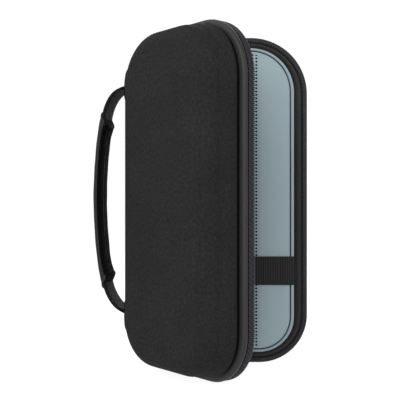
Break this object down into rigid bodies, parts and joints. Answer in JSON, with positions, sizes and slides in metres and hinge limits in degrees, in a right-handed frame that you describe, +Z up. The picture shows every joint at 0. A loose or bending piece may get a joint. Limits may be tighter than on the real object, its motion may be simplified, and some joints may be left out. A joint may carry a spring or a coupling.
{
  "type": "hard shell carry case",
  "caption": "Hard-shell zip case, deep base and shallow padded lid on a fabric spine hinge, with a webbing side handle and an elastic strap inside.",
  "frame": {"origin": "centre of the base half's flat back face", "axes": "+Z up the case's long side, -Y out of the base's back face, +X from the spine to the free edge"},
  "size_m": [0.1607, 0.1687, 0.284],
  "materials": {
    "cover_cloth": "black twill polyester bonded to moulded foam",
    "eva_foam": "closed-cell EVA foam, light and stiff",
    "grey_lining": "smooth blue-grey knit lining, matt",
    "rim_binding": "smooth folded binding, slight sheen",
    "zip_tape": "woven zip tape",
    "zip_coil": "nylon coil",
    "black_mesh": "black backing behind the perforations",
    "elastic": "ribbed elastic",
    "webbing": "woven polyester webbing",
    "grip_wrap": "soft black synthetic leather",
    "stiffener": "plain polypropylene",
    "slider_metal": "black enamelled zinc",
    "pull_rubber": "moulded soft rubber"
  },
  "bodies": {
    "base": {"base_fabric_cover": "cover_cloth", "base_eva_core": "eva_foam", "base_lining": "grey_lining", "base_floor_pad": "eva_foam", "base_rim_binding": "rim_binding", "base_seam_tape": "rim_binding", "base_zip_tape": "zip_tape", "base_zip_coil": "zip_coil", "base_inner_binding": "rim_binding", "base_spine_web": "zip_tape", "handle_backing_plate_upper": "stiffener", "handle_backing_plate_lower": "stiffener", "handle_root_patch_upper": "webbing", "handle_root_patch_lower": "webbing", "zip_end_stops": "zip_coil"},
    "lid": {"lid_fabric_cover": "cover_cloth", "lid_eva_core": "eva_foam", "lid_foam_pad": "eva_foam", "lid_vent_backing": "black_mesh", "lid_lining_panel": "grey_lining", "lid_lining_welt": "grey_lining", "lid_rim_binding": "rim_binding", "lid_seam_tape": "rim_binding", "lid_zip_tape": "zip_tape", "lid_zip_coil": "zip_coil", "lid_inner_binding": "rim_binding", "lid_spine_web": "zip_tape", "elastic_strap": "elastic", "elastic_strap_ends": "elastic"},
    "handle": {"handle_webbing": "webbing", "handle_grip_core": "eva_foam", "handle_grip_cover": "grip_wrap"},
    "upper_slider": {"upper_slider_body": "slider_metal"},
    "upper_pull": {"upper_pull_tab": "slider_metal", "upper_pull_grip": "pull_rubber"},
    "lower_slider": {"lower_slider_body": "slider_metal"},
    "lower_pull": {"lower_pull_tab": "slider_metal", "lower_pull_grip": "pull_rubber"}
  },
  "joints": [
    {"name": "lid_hinge", "type": "hinge", "parent": "base", "child": "lid", "pos_m": [-0.0667, 0.043, 0], "axis": [0, 0, 1], "range_deg": [-51, 49]},
    {"name": "handle_swing", "type": "hinge", "parent": "base", "child": "handle", "pos_m": [-0.06326, 0.016, 0], "axis": [0, 0, 1], "range_deg": [-47, 13]},
    {"name": "upper_slider_travel", "type": "hinge", "parent": "base", "child": "upper_slider", "pos_m": [-0.0155, 0.043, 0.092], "axis": [0, 1, 0], "range_deg": [0, 60]},
    {"name": "upper_pull_swing", "type": "hinge", "parent": "upper_slider", "child": "upper_pull", "pos_m": [-0.06888, 0.0391, 0.10141], "axis": [0, 1, 0], "range_deg": [0, 150]},
    {"name": "lower_slider_travel", "type": "hinge", "parent": "base", "child": "lower_slider", "pos_m": [-0.0215, 0.043, -0.098], "axis": [0, -1, 0], "range_deg": [0, 30]},
    {"name": "lower_pull_swing", "type": "hinge", "parent": "lower_slider", "child": "lower_pull", "pos_m": [-0.06897, 0.0391, -0.10637], "axis": [0, 1, 0], "range_deg": [0, 150]}
  ]
}
